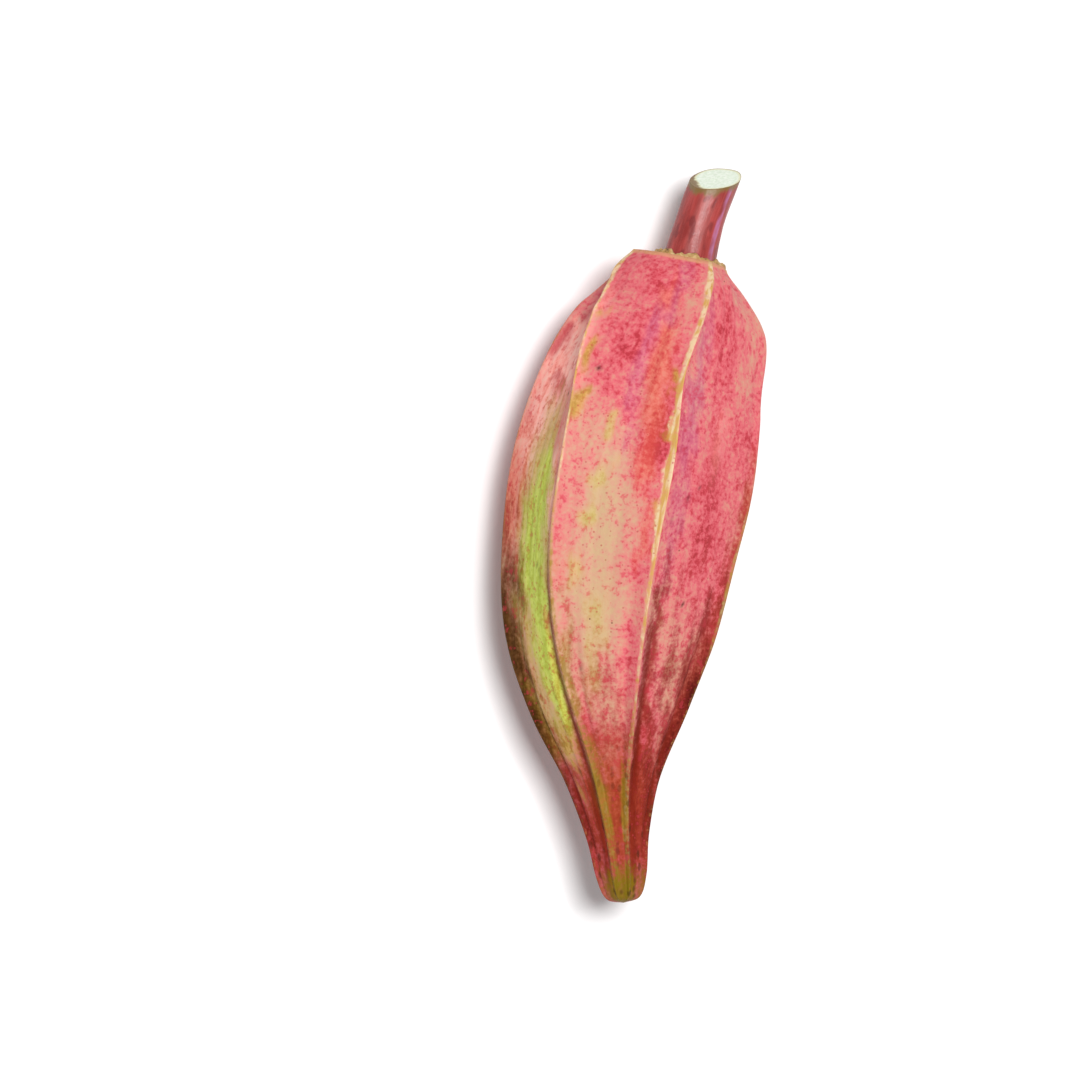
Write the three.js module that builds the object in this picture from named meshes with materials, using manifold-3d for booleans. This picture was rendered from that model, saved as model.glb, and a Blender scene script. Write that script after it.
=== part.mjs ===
// A ribbed red okra pod, lying on its side with its cut stalk.
// X runs to the right across the pod, Y from the tip to the stalk, Z up from the surface it lies on.
import * as THREE from 'three';
import { mergeVertices } from 'three/addons/utils/BufferGeometryUtils.js';
import Module from 'manifold-3d';

const wasm = await Module();
wasm.setup();

// Driving dimensions, in millimetres
const POD_LENGTH = 100;
const BELLY_RADIUS = 19;
const TOP_RADIUS = 8.4;
const TOP_EDGE = 0.5;
const REST_DEPTH = 0.5;
const TIP_RISE = 3;
const NECK_RISE = 1;
const SHOULDER_DROP = 0.5;
const PIECE_GAP = 0.3;
const RIB_HEIGHT = 0.4;
const RIB_WIDTH = 1.1;
const KNOB_WIDTH = 3.5;
const KNOB_LENGTH = 4;
const KNOB_PLACE = 0.91;
const DRAWN_IN_WIDTH = 6;
const SCAR_INNER_RADIUS = 4.75;
const SCAR_OUTER_RADIUS = 5.7;
const SCAR_HEIGHT = 0.5;
const STEM_FOOT_RADIUS = 4.3;
const STEM_RADIUS = 3.75;
const STEM_LENGTH = 13.2;
const STEM_BEND = 5.3;
const STEM_LEAN = 18;
const KNIFE_SIZE = 30;

// How the stalk was cut: how far the cut leans to one side and towards the upper side
const CUT_SIDE_SLOPE = 0.42;
const CUT_FACE_SLOPE = 0.5;

// How hollow the panels are, as a share of the pod's radius there
const PANEL_DEPTH = 0.15;
const NECK_PANEL_DEPTH = 0.1;
const NECK_GROOVE_DEPTH = 0.045;
const GROOVE_PLACE = 0.15;
const GROOVE_WIDTH = 0.08;

// From where to where along the pod, as shares of its length, the neck's form gives way to the belly's,
// the shoulder is drawn in and the ribs sink away; at the tip they rise between two crest radii instead
const NECK_END = [0.25, 0.6];
const DRAWN_IN_END = [KNOB_PLACE, 0.99];
const RIB_END = [0.9, 1];
const RIB_START_RADII = [1, 5];

// How finely the surfaces are divided
const PANEL_COLUMNS = 14;
const CREST_CROWDING = 0.6;
const STATIONS_PER_SPAN = 4;
const STEM_COLUMNS = 28;
const SCAR_COLUMNS = 60;

// Each rib stands at an angle from straight up, positive to the right.
// It drifts from its angle at the tip to that at the belly and swings to that at the shoulder;
// one bows aside before it gets there. Some ribs start as a low knob, and the shoulder above them
// is drawn in, or bulges where the number is negative. Both are in millimetres.
const RIBS = [
  { tip: -72, belly: -90, shoulder: -104, bow: 0, knob: 0.2, drawnIn: 0 },
  { tip: -18, belly: -36, shoulder: -78, bow: 0, knob: 0, drawnIn: -1.1 },
  { tip: 17, belly: 18, shoulder: 27, bow: -8.5, knob: 0, drawnIn: 0 },
  { tip: 74, belly: 84, shoulder: 88, bow: 0, knob: 0.5, drawnIn: 2 },
  { tip: 130, belly: 150, shoulder: 140, bow: 0, knob: 0.4, drawnIn: 1.5 },
  { tip: 215, belly: 210, shoulder: 192, bow: 0, knob: 0.2, drawnIn: 0.5 },
];
const BELLY_SHARE = 0.6;
const BOW_SHARE = 0.87;
const BOW_LENGTH = 0.12;
const REST_RIB_ANGLE = 30;

// Height of the middle line where the pod is widest, so that its two lowest ribs bed in by REST_DEPTH
const AXIS_HEIGHT = BELLY_RADIUS * Math.cos(THREE.MathUtils.degToRad(REST_RIB_ANGLE)) - REST_DEPTH;

// The pod's middle line, seen from above a shallow S
const axis = new THREE.CatmullRomCurve3([
  new THREE.Vector3(-0.9, -56.6, AXIS_HEIGHT + TIP_RISE),
  new THREE.Vector3(-2.5, -36.8, AXIS_HEIGHT + NECK_RISE),
  new THREE.Vector3(-3, -17.2, AXIS_HEIGHT),
  new THREE.Vector3(-0.8, 3, AXIS_HEIGHT),
  new THREE.Vector3(3.6, 22, AXIS_HEIGHT),
  new THREE.Vector3(7.2, 32.8, AXIS_HEIGHT),
  new THREE.Vector3(9.2, 41.8, AXIS_HEIGHT - SHOULDER_DROP),
]);

// The pod's outline over its rib crests, as radius and distance from the tip
const outlinePoints = [
  [0, 0],
  [2.8, 0.8],
  [4.2, 4.2],
  [5.3, 10.5],
  [8.1, 19.3],
  [12.9, 30],
  [16.8, 43],
  [BELLY_RADIUS, 61],
  [18, 76],
  [15.7, 87.5],
  [11.6, 95.8],
  [TOP_RADIUS, POD_LENGTH - TOP_EDGE],
];

// Where the two low ribs are cut flat, the pod's material ends at z = 0
const FLOOR_BLOCK_DEPTH = 10;
const FLOOR_BLOCK_SIZE = 300;

function smooth(from, to, value) {
  return THREE.MathUtils.smoothstep(value, from, to);
}

function bell(distance, width) {
  return Math.exp(-((distance / width) ** 2));
}

// Angle of a rib at a share of the pod's length; ribs past the last one go round again
function ribAngle(index, share) {
  const turns = Math.floor(index / RIBS.length);
  const rib = RIBS[index % RIBS.length];
  const drift = rib.tip + (rib.belly - rib.tip) * smooth(0, BELLY_SHARE, share);
  const swing = (rib.shoulder - rib.belly) * Math.max(0, (share - BELLY_SHARE) / (1 - BELLY_SHARE)) ** 2;
  const bow = rib.bow * bell(share - BOW_SHARE, BOW_LENGTH);
  return THREE.MathUtils.degToRad(drift + swing + bow) + turns * 2 * Math.PI;
}

// Radius of the pod's skin at a place across a panel, from rib crest to rib crest
function skinRadius(crestRadius, panel, across, halfSpan, share) {
  const offCentre = (2 * across - 1) * halfSpan;
  const chord = Math.cos(halfSpan) / Math.cos(offCentre);
  const hollow = (1 - chord) / (1 - Math.cos(halfSpan));
  const neck = 1 - smooth(...NECK_END, share);
  const depth = THREE.MathUtils.lerp(PANEL_DEPTH, NECK_PANEL_DEPTH, neck);
  const fromCrest = Math.min(across, 1 - across);
  const groove = NECK_GROOVE_DEPTH * neck * bell(fromCrest - GROOVE_PLACE, GROOVE_WIDTH);
  const crestDistance = fromCrest * 2 * halfSpan * crestRadius;
  const ribFade = smooth(...RIB_START_RADII, crestRadius) * (1 - smooth(...RIB_END, share));
  const rib = RIB_HEIGHT * ribFade * bell(crestDistance, RIB_WIDTH);
  const { knob, drawnIn } = RIBS[(across < 0.5 ? panel : panel + 1) % RIBS.length];
  const knobHeight = knob * bell((share - KNOB_PLACE) * POD_LENGTH, KNOB_LENGTH) * bell(crestDistance, KNOB_WIDTH);
  const inset = drawnIn * smooth(...DRAWN_IN_END, share) * bell(crestDistance, DRAWN_IN_WIDTH);
  const panelRadius = crestRadius * (1 - depth * hollow - groove);
  return panelRadius - RIB_HEIGHT * ribFade + rib + knobHeight - inset * smooth(0, TOP_RADIUS, crestRadius);
}

// Place and directions on a middle line, past its end along its last direction
function frameOn(line, length, along) {
  const share = THREE.MathUtils.clamp(along / length, 0, 1);
  const forward = line.getTangentAt(share);
  const right = forward.clone().cross(new THREE.Vector3(0, 0, 1)).normalize();
  const up = right.clone().cross(forward);
  const centre = line.getPointAt(share).addScaledVector(forward, Math.max(0, along - length));
  return { centre, forward, right, up };
}

// Point at a radius and angle round a middle line
function around(line, length, along, radius, angle) {
  const { centre, right, up } = frameOn(line, length, along);
  return centre.addScaledVector(right, radius * Math.sin(angle)).addScaledVector(up, radius * Math.cos(angle));
}

// Turned body whose every vertex is then moved to the place that the piece gives it
function loft(outline, columns, place) {
  const geometry = new THREE.LatheGeometry(outline, columns);
  const position = geometry.attributes.position;
  for (let column = 0; column <= columns; column += 1) {
    outline.forEach((point, station) => {
      const placed = place(column % columns, point.x, point.y);
      position.setXYZ(column * outline.length + station, placed.x, placed.y, placed.z);
    });
  }
  return toSolid(geometry);
}

// Closed mesh as a solid, without the slivers that a turned body has at its two ends
function toSolid(geometry) {
  geometry.deleteAttribute('normal');
  geometry.deleteAttribute('uv');
  const merged = mergeVertices(geometry);
  const triangles = [];
  for (let corner = 0; corner < merged.index.count; corner += 3) {
    const [a, b, c] = [0, 1, 2].map((step) => merged.index.getX(corner + step));
    if (a !== b && b !== c && c !== a) {
      triangles.push(a, b, c);
    }
  }
  return new wasm.Manifold(new wasm.Mesh({
    numProp: 3,
    vertProperties: new Float32Array(merged.attributes.position.array),
    triVerts: new Uint32Array(triangles),
  }));
}

function toMesh(name, solid, material) {
  const { vertProperties, triVerts } = solid.getMesh();
  const geometry = new THREE.BufferGeometry();
  geometry.setAttribute('position', new THREE.BufferAttribute(vertProperties, 3));
  geometry.setIndex(new THREE.BufferAttribute(triVerts, 1));
  geometry.computeVertexNormals();
  const mesh = new THREE.Mesh(geometry, material);
  mesh.name = name;
  return mesh;
}

function makePod() {
  const side = new THREE.SplineCurve(outlinePoints.map(([radius, along]) => new THREE.Vector2(radius, along)));
  const outline = side.getPoints((outlinePoints.length - 1) * STATIONS_PER_SPAN);
  outline.push(new THREE.Vector2(TOP_RADIUS - TOP_EDGE, POD_LENGTH));
  outline.push(new THREE.Vector2(STEM_FOOT_RADIUS, POD_LENGTH));
  outline.push(new THREE.Vector2(0, POD_LENGTH));
  const capsule = loft(outline, RIBS.length * PANEL_COLUMNS, (column, radius, along) => {
    const share = along / POD_LENGTH;
    const panel = Math.floor(column / PANEL_COLUMNS);
    const step = (column % PANEL_COLUMNS) / PANEL_COLUMNS;
    const across = step - (CREST_CROWDING / (2 * Math.PI)) * Math.sin(2 * Math.PI * step);
    const from = ribAngle(panel, share);
    const span = ribAngle(panel + 1, share) - from;
    const skin = radius > 0 ? skinRadius(radius, panel, across, span / 2, share) : 0;
    return around(axis, POD_LENGTH, along, skin, from + span * across);
  });
  const block = new THREE.BoxGeometry(FLOOR_BLOCK_SIZE, FLOOR_BLOCK_SIZE, FLOOR_BLOCK_DEPTH);
  block.translate(0, 0, -FLOOR_BLOCK_DEPTH / 2);
  return capsule.subtract(toSolid(block));
}

// Section of the calyx ring, as shares of its width and of its height
const scarSection = [[0, 0], [1, 0], [0.85, 0.6], [0.5, 1], [0.25, 0.7], [0, 0]];

// Waves round the ring, as their number, depth and turn: its edge is lobed and its top crumbled
const scarLobes = [[5, 0.03, -0.6], [11, 0.015, 0]];
const scarCrumbs = [[7, 0.25, 1], [16, 0.15, 0]];

function waved(waves, angle) {
  return waves.reduce((sum, [count, depth, turn]) => sum + depth * Math.sin(count * angle + turn), 1);
}

// The low uneven ring where the flower's leaves fell off
function makeCalyxScar() {
  const foot = POD_LENGTH + PIECE_GAP;
  const width = SCAR_OUTER_RADIUS - SCAR_INNER_RADIUS;
  const outline = scarSection.map(([across, up]) => {
    return new THREE.Vector2(SCAR_INNER_RADIUS + width * across, foot + SCAR_HEIGHT * up);
  });
  return loft(outline, SCAR_COLUMNS, (column, radius, along) => {
    const angle = (column / SCAR_COLUMNS) * 2 * Math.PI;
    const height = (along - foot) * waved(scarCrumbs, angle);
    return around(axis, POD_LENGTH, foot + height, radius * waved(scarLobes, angle), angle);
  });
}

// The stalk's outline below its cut, as distance from its foot and radius
const stemOutline = [
  [0, STEM_FOOT_RADIUS],
  [1, 4.1],
  [3, 3.95],
  [6, 3.8],
  [9, STEM_RADIUS],
  [STEM_LENGTH, STEM_RADIUS],
];

// The stalk leaves the pod square to its top, bends to its own lean and ends in a slanting cut
function makeStem() {
  const top = frameOn(axis, POD_LENGTH, POD_LENGTH + PIECE_GAP);
  const lean = THREE.MathUtils.degToRad(STEM_LEAN);
  const end = new THREE.Vector3(Math.sin(lean), Math.cos(lean), 0).multiplyScalar(STEM_LENGTH).add(top.centre);
  const bend = top.centre.clone().addScaledVector(top.forward, STEM_BEND);
  const line = new THREE.QuadraticBezierCurve3(top.centre, bend, end);
  const overlong = STEM_LENGTH + 2 * STEM_RADIUS;
  const outline = stemOutline.map(([along, radius]) => new THREE.Vector2(radius, along));
  outline.unshift(new THREE.Vector2(0, 0));
  outline.push(new THREE.Vector2(STEM_RADIUS, overlong), new THREE.Vector2(0, overlong));
  const stalk = loft(outline, STEM_COLUMNS, (column, radius, along) => {
    return around(line, STEM_LENGTH, along, radius, (column / STEM_COLUMNS) * 2 * Math.PI);
  });
  const cut = frameOn(line, STEM_LENGTH, STEM_LENGTH);
  const faceNormal = cut.forward.clone();
  faceNormal.addScaledVector(cut.right, -CUT_SIDE_SLOPE).addScaledVector(cut.up, CUT_FACE_SLOPE).normalize();
  const knife = new THREE.BoxGeometry(KNIFE_SIZE, KNIFE_SIZE, KNIFE_SIZE);
  knife.translate(0, 0, KNIFE_SIZE / 2);
  knife.applyQuaternion(new THREE.Quaternion().setFromUnitVectors(new THREE.Vector3(0, 0, 1), faceNormal));
  knife.translate(cut.centre.x, cut.centre.y, cut.centre.z);
  return stalk.subtract(toSolid(knife));
}

const podSkin = new THREE.MeshStandardMaterial({ color: 0xdb7468, roughness: 0.55, metalness: 0 });
const scarBrown = new THREE.MeshStandardMaterial({ color: 0xb59a5a, roughness: 0.85, metalness: 0 });
const stemRed = new THREE.MeshStandardMaterial({ color: 0xb34a55, roughness: 0.45, metalness: 0 });

const group = new THREE.Group();
group.add(toMesh('pod', makePod(), podSkin));
group.add(toMesh('calyx_scar', makeCalyxScar(), scarBrown));
group.add(toMesh('stem', makeStem(), stemRed));

// The origin lies under the middle of the whole
const middle = new THREE.Box3().setFromObject(group).getCenter(new THREE.Vector3());
group.position.set(-middle.x, -middle.y, 0);

export default group;
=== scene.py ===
"""Looks of a ribbed red okra pod: its mottled skin, its calyx scar and its cut stalk."""
import math

import bpy
import numpy as np
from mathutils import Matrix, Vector


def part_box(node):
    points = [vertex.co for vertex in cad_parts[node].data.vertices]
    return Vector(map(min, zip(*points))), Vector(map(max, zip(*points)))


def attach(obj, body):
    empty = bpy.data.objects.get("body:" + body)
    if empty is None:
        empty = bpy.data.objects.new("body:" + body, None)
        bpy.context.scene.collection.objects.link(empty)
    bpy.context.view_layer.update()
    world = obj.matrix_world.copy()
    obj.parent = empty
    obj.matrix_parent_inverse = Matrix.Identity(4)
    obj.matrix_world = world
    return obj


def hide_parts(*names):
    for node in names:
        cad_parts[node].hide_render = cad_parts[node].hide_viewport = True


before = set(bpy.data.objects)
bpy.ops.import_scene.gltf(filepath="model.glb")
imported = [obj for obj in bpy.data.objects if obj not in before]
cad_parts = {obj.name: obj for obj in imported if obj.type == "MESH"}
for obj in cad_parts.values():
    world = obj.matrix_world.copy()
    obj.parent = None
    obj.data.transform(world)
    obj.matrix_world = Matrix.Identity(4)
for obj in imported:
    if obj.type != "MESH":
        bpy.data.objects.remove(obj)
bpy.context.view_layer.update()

# The frame is in metres, the shapes below in millimetres
MM = 0.001

# Driving dimensions, as in the solids
POD_LENGTH = 100
BELLY_RADIUS = 19
TOP_RADIUS = 8.4
TOP_EDGE = 0.5
REST_DEPTH = 0.5
TIP_RISE = 3
NECK_RISE = 1
SHOULDER_DROP = 0.5
RIB_HEIGHT = 0.4
KNOB_WIDTH = 3.5
KNOB_LENGTH = 4
KNOB_PLACE = 0.91
DRAWN_IN_WIDTH = 6
SCAR_INNER_RADIUS = 4.75
SCAR_OUTER_RADIUS = 5.7
SCAR_HEIGHT = 0.5
PIECE_GAP = 0.3
STEM_FOOT_RADIUS = 4.3
STEM_RADIUS = 3.75
STEM_LENGTH = 13.2
STEM_BEND = 5.3
STEM_LEAN = 18
CUT_SIDE_SLOPE = 0.42
CUT_FACE_SLOPE = 0.5
PANEL_DEPTH = 0.15
NECK_PANEL_DEPTH = 0.1
NECK_GROOVE_DEPTH = 0.045
GROOVE_PLACE = 0.15
GROOVE_WIDTH = 0.08
CREST_CROWDING = 0.6
NECK_END = (0.25, 0.6)
DRAWN_IN_END = (KNOB_PLACE, 0.99)
RIB_END = (0.9, 1)
RIB_START_RADII = (1, 5)

# The rib crests are finer than in the solids: their half width in millimetres and their share of the height
RIB_WIDTH = 0.75
RIB_SHARE = 0.7

# Each rib line sways a little: by how many degrees, in waves of how many millimetres, and where that ends
SWAY_ANGLE = 0.25
SWAY_LENGTH = 22
SWAY_END = (0.85, 1)
SWAY_SEED = 40

# The shallow valley down the upper part of the panel between the two upper ribs:
# its depth and half width in millimetres, where along the pod it appears and ends,
# and how far across the panel it lies at each of VALLEY_STATIONS
VALLEY_PANEL = 1
VALLEY_DEPTH = 0.45
VALLEY_WIDTH = 2.2
VALLEY_START = (0.6, 0.75)
VALLEY_END = (0.96, 1)
VALLEY_STATIONS = (0.62, 0.97)
VALLEY_PLACE = (0.5, 0.78)

# Unevenness of the skin: height in millimetres, then seed, length, turns and number of waves.
# It starts over these distances from the tip and these radii. The skin is drawn in by SKIN_INSET
# and the bark by BARK_INSET, which keeps both inside the solids.
UNEVENNESS = [
    (0.13, 3, 24, 7, 14),
    (0.05, 4, 60, 60, 30),
]
UNEVEN_START = (0, 6)
UNEVEN_START_RADII = (3, 8)
SKIN_INSET = 0.15
BARK_INSET = 0.1

# How finely the skin is divided
PANEL_COLUMNS = 48
SPAN_STATIONS = 25
TOP_RINGS = 16
INNERMOST_RADIUS = 0.4

# Ribs, in the order left, upper left, upper right, right, lower right, lower left.
# Angles are from straight up, positive to the right; knob and drawn_in are in millimetres.
RIBS = [
    {"tip": -72, "belly": -90, "shoulder": -104, "bow": 0, "knob": 0.2, "drawn_in": 0},
    {"tip": -18, "belly": -36, "shoulder": -78, "bow": 0, "knob": 0, "drawn_in": -1.1},
    {"tip": 17, "belly": 18, "shoulder": 27, "bow": -8.5, "knob": 0, "drawn_in": 0},
    {"tip": 74, "belly": 84, "shoulder": 88, "bow": 0, "knob": 0.5, "drawn_in": 2},
    {"tip": 130, "belly": 150, "shoulder": 140, "bow": 0, "knob": 0.4, "drawn_in": 1.5},
    {"tip": 215, "belly": 210, "shoulder": 192, "bow": 0, "knob": 0.2, "drawn_in": 0.5},
]
BELLY_SHARE = 0.6
BOW_SHARE = 0.87
BOW_LENGTH = 0.12
REST_RIB_ANGLE = 30
AXIS_HEIGHT = BELLY_RADIUS * math.cos(math.radians(REST_RIB_ANGLE)) - REST_DEPTH

AXIS_POINTS = [
    (-0.9, -56.6, AXIS_HEIGHT + TIP_RISE),
    (-2.5, -36.8, AXIS_HEIGHT + NECK_RISE),
    (-3, -17.2, AXIS_HEIGHT),
    (-0.8, 3, AXIS_HEIGHT),
    (3.6, 22, AXIS_HEIGHT),
    (7.2, 32.8, AXIS_HEIGHT),
    (9.2, 41.8, AXIS_HEIGHT - SHOULDER_DROP),
]

# Radius over the rib crests and distance from the tip
OUTLINE_POINTS = [
    (0, 0),
    (2.8, 0.8),
    (4.2, 4.2),
    (5.3, 10.5),
    (8.1, 19.3),
    (12.9, 30),
    (16.8, 43),
    (BELLY_RADIUS, 61),
    (18, 76),
    (15.7, 87.5),
    (11.6, 95.8),
    (TOP_RADIUS, POD_LENGTH - TOP_EDGE),
]


def bell(distance, width):
    return np.exp(-((distance / width) ** 2))


def smooth(low, high, value):
    share = np.clip((value - low) / (high - low), 0, 1)
    return share * share * (3 - 2 * share)


def mix(low, high, share):
    return low + (high - low) * share


def spline(points, steps, power):
    """Catmull-Rom curve through the points, with steps in each span; power 0.5 is centripetal, 0 uniform."""
    points = np.array(points, float)
    padded = np.vstack([2 * points[0] - points[1], points, 2 * points[-1] - points[-2]])
    samples = []
    for p0, p1, p2, p3 in zip(padded, padded[1:], padded[2:], padded[3:]):
        gap0, gap1, gap2 = (np.linalg.norm(b - a) ** power for a, b in ((p0, p1), (p1, p2), (p2, p3)))
        leave = ((p1 - p0) / gap0 - (p2 - p0) / (gap0 + gap1) + (p2 - p1) / gap1) * gap1
        reach = ((p2 - p1) / gap1 - (p3 - p1) / (gap1 + gap2) + (p3 - p2) / gap2) * gap1
        for t in np.arange(steps) / steps:
            bend = (-3 * p1 + 3 * p2 - 2 * leave - reach) * t**2
            samples.append(p1 + leave * t + bend + (2 * p1 - 2 * p2 + leave + reach) * t**3)
    return np.vstack([samples, points[-1]])


class MiddleLine:
    """A curve that a piece's cross-sections stand on, read by distance along it."""

    def __init__(self, samples, length):
        steps = np.linalg.norm(np.diff(samples, axis=0), axis=1)
        reach = np.concatenate([[0], np.cumsum(steps)])
        self.samples = samples
        self.length = length
        self.reach = reach / reach[-1] * length

    def at(self, along):
        inside = np.clip(along, 0, self.length)
        return np.stack([np.interp(inside, self.reach, self.samples[:, k]) for k in range(3)], axis=-1)

    def frames(self, along):
        """Centre, forward, right and up at each distance; past the ends it runs on straight."""
        along = np.asarray(along, float)
        step = self.length * 0.005
        centre = np.clip(along, step, self.length - step)
        forward = self.at(centre + step) - self.at(centre - step)
        forward /= np.linalg.norm(forward, axis=-1, keepdims=True)
        right = np.cross(forward, [0, 0, 1])
        right /= np.linalg.norm(right, axis=-1, keepdims=True)
        past = along - np.clip(along, 0, self.length)
        return self.at(along) + forward * past[..., None], forward, right, np.cross(right, forward)

    def around(self, along, radius, angle):
        centre, _, right, up = self.frames(along)
        sideways = (radius * np.sin(angle))[..., None] * right
        return centre + sideways + (radius * np.cos(angle))[..., None] * up


axis = MiddleLine(spline(AXIS_POINTS, steps=40, power=0.5), POD_LENGTH)


def ripples(along, angle, seed, length, turns, waves=14):
    """Smooth unevenness round the pod from seeded waves, about -1 to 1, with no seam.

    The shortest wave is length millimetres long, and at most turns waves go round the pod.
    """
    draw = np.random.default_rng(seed)
    total = np.zeros(np.broadcast(along, angle).shape)
    for _ in range(waves):
        lengthwise = draw.uniform(0.3, 1) * 2 * math.pi / length
        sideways = draw.integers(0, turns + 1)
        phase = draw.uniform(0, 2 * math.pi)
        total += np.cos(lengthwise * along + sideways * angle + phase)
    return total / math.sqrt(waves)


def rib_angle(index, share):
    """Angle of a rib in radians; ribs past the last one go round again."""
    rib = RIBS[index % len(RIBS)]
    drift = mix(rib["tip"], rib["belly"], smooth(0, BELLY_SHARE, share))
    swing = (rib["shoulder"] - rib["belly"]) * np.maximum(0, (share - BELLY_SHARE) / (1 - BELLY_SHARE)) ** 2
    bow = rib["bow"] * bell(share - BOW_SHARE, BOW_LENGTH)
    sway = SWAY_ANGLE * ripples(share * POD_LENGTH, 0, SWAY_SEED + index % len(RIBS), SWAY_LENGTH, 0)
    sway = sway * (1 - smooth(*SWAY_END, share))
    return np.radians(drift + swing + bow + sway) + index // len(RIBS) * 2 * math.pi


def skin_grid(radius, along):
    """Radius, angle, nearest rib and signed distance from its crest, for every station and column."""
    share = along / POD_LENGTH
    columns = []
    for panel in range(len(RIBS)):
        start = rib_angle(panel, share)
        span = rib_angle(panel + 1, share) - start
        for column in range(PANEL_COLUMNS):
            step = column / PANEL_COLUMNS
            across = step - CREST_CROWDING / (2 * math.pi) * math.sin(2 * math.pi * step)
            near = panel if across < 0.5 else (panel + 1) % len(RIBS)
            columns.append(skin_column(radius, along, start, span, across, near, panel == VALLEY_PANEL))
    return [np.stack(parts, axis=1) for parts in zip(*columns)]


def skin_column(radius, along, start, span, across, near, valley):
    """The same four for one column, which lies at the share across of the span that begins at start."""
    share = along / POD_LENGTH
    half = span / 2
    chord = np.cos(half) / np.cos((2 * across - 1) * half)
    hollow = (1 - chord) / (1 - np.cos(half))
    neck = 1 - smooth(*NECK_END, share)
    from_crest = min(across, 1 - across)
    distance = from_crest * span * radius
    groove = NECK_GROOVE_DEPTH * neck * bell(from_crest - GROOVE_PLACE, GROOVE_WIDTH)
    fade = smooth(*RIB_START_RADII, radius) * (1 - smooth(*RIB_END, share))
    rib = RIBS[near]
    crest = RIB_HEIGHT * fade * (RIB_SHARE * bell(distance, RIB_WIDTH) - 1)
    knob = rib["knob"] * bell((share - KNOB_PLACE) * POD_LENGTH, KNOB_LENGTH) * bell(distance, KNOB_WIDTH)
    inset = rib["drawn_in"] * smooth(*DRAWN_IN_END, share) * bell(distance, DRAWN_IN_WIDTH)
    skin = radius * (1 - mix(PANEL_DEPTH, NECK_PANEL_DEPTH, neck) * hollow - groove)
    skin = skin + crest + knob - inset * smooth(0, TOP_RADIUS, radius)
    place = np.interp(share, VALLEY_STATIONS, VALLEY_PLACE)
    shown = valley * smooth(*VALLEY_START, share) * (1 - smooth(*VALLEY_END, share))
    skin = skin - VALLEY_DEPTH * shown * bell((across - place) * span * radius, VALLEY_WIDTH)
    signed = distance if across < 0.5 else -distance
    return skin, start + span * across, np.full_like(radius, near), signed


def ring_mesh(name, points, hoop=False):
    """Mesh of rings of points, (stations, columns, 3) in millimetres.

    It has a fan at each end, or for a hoop a last row of faces back to the first ring.
    """
    stations, columns, _ = points.shape
    here = np.arange(stations * columns).reshape(stations, columns)
    rows = np.vstack([here, here[:1]]) if hoop else here
    after = np.roll(rows, -1, axis=1)
    quads = np.stack([rows[:-1], after[:-1], after[1:], rows[1:]], axis=-1).reshape(-1, 4)
    faces = quads.tolist()
    vertices = points.reshape(-1, 3)
    if not hoop:
        ends = [points[0].mean(axis=0), points[-1].mean(axis=0)]
        vertices = np.vstack([vertices, ends])
        first, last = stations * columns, stations * columns + 1
        faces += [[first, b, a] for a, b in zip(here[0], after[0])]
        faces += [[last, a, b] for a, b in zip(here[-1], np.roll(here[-1], -1))]
    mesh = bpy.data.meshes.new(name)
    mesh.from_pydata((vertices * MM).tolist(), [], faces)
    mesh.shade_smooth()
    piece = bpy.data.objects.new(name, mesh)
    bpy.context.collection.objects.link(piece)
    return piece


def paint(piece, name, values, pole_values=()):
    """Stores one number for each vertex, then for the middles of both ends, read by name in a material."""
    flat = np.concatenate([np.asarray(values, float).ravel(), pole_values])
    attribute = piece.data.attributes.new(name, "FLOAT", "POINT")
    attribute.data.foreach_set("value", flat.astype(np.float32))


def paint_vector(piece, name, values):
    attribute = piece.data.attributes.new(name, "FLOAT_VECTOR", "POINT")
    attribute.data.foreach_set("vector", np.asarray(values, np.float32).ravel())


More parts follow.
